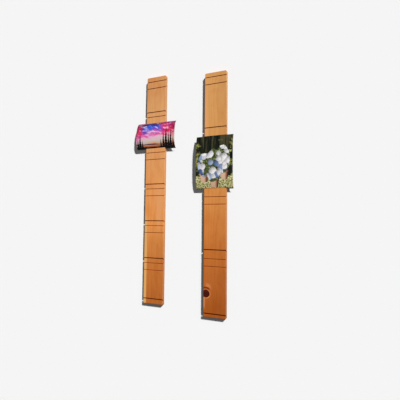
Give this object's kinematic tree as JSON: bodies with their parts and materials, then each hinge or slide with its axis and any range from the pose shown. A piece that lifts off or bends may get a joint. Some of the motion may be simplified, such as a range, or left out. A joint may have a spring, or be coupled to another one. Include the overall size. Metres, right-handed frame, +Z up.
{
  "type": "wall photo holder",
  "caption": "Pair of upright wall boards of oiled wood with slanted saw grooves that grip the edges of bowed prints; a landscape and a portrait print are in place.",
  "frame": {"origin": "the middle of the landscape board's back face, on the wall", "axes": "+Z up along the boards, +Y into the wall, +X to the viewer's right along the wall, towards the portrait board"},
  "size_m": [0.3601, 0.0216, 0.8161],
  "materials": {
    "oiled_wood": "oiled, satin, with fine upright grain, darker and redder towards the foot of the portrait board",
    "dusk_print": null,
    "garden_print": null,
    "zinc_plate": "zinc-plated pressed steel",
    "zinc_screw": "bright zinc-plated steel"
  },
  "bodies": {
    "boards": {"landscape_board": "oiled_wood", "landscape_board_top_hanger": "zinc_plate", "landscape_board_top_hanger_upper_screw": "zinc_screw", "landscape_board_top_hanger_lower_screw": "zinc_screw", "landscape_board_bottom_hanger": "zinc_plate", "landscape_board_bottom_hanger_upper_screw": "zinc_screw", "landscape_board_bottom_hanger_lower_screw": "zinc_screw", "portrait_board": "oiled_wood", "portrait_board_top_hanger": "zinc_plate", "portrait_board_top_hanger_upper_screw": "zinc_screw", "portrait_board_top_hanger_lower_screw": "zinc_screw", "portrait_board_bottom_hanger": "zinc_plate", "portrait_board_bottom_hanger_upper_screw": "zinc_screw", "portrait_board_bottom_hanger_lower_screw": "zinc_screw"},
    "landscape_print": {"landscape_print": "dusk_print"},
    "portrait_print": {"portrait_print": "garden_print"}
  },
  "joints": [
    {"name": "landscape_print_slide", "type": "slide", "parent": "boards", "child": "landscape_print", "axis": [1, 0, 0], "range_m": [-0.039, 0.035]},
    {"name": "portrait_print_slide", "type": "slide", "parent": "boards", "child": "portrait_print", "axis": [1, 0, 0], "range_m": [-0.023, 0.027]}
  ]
}
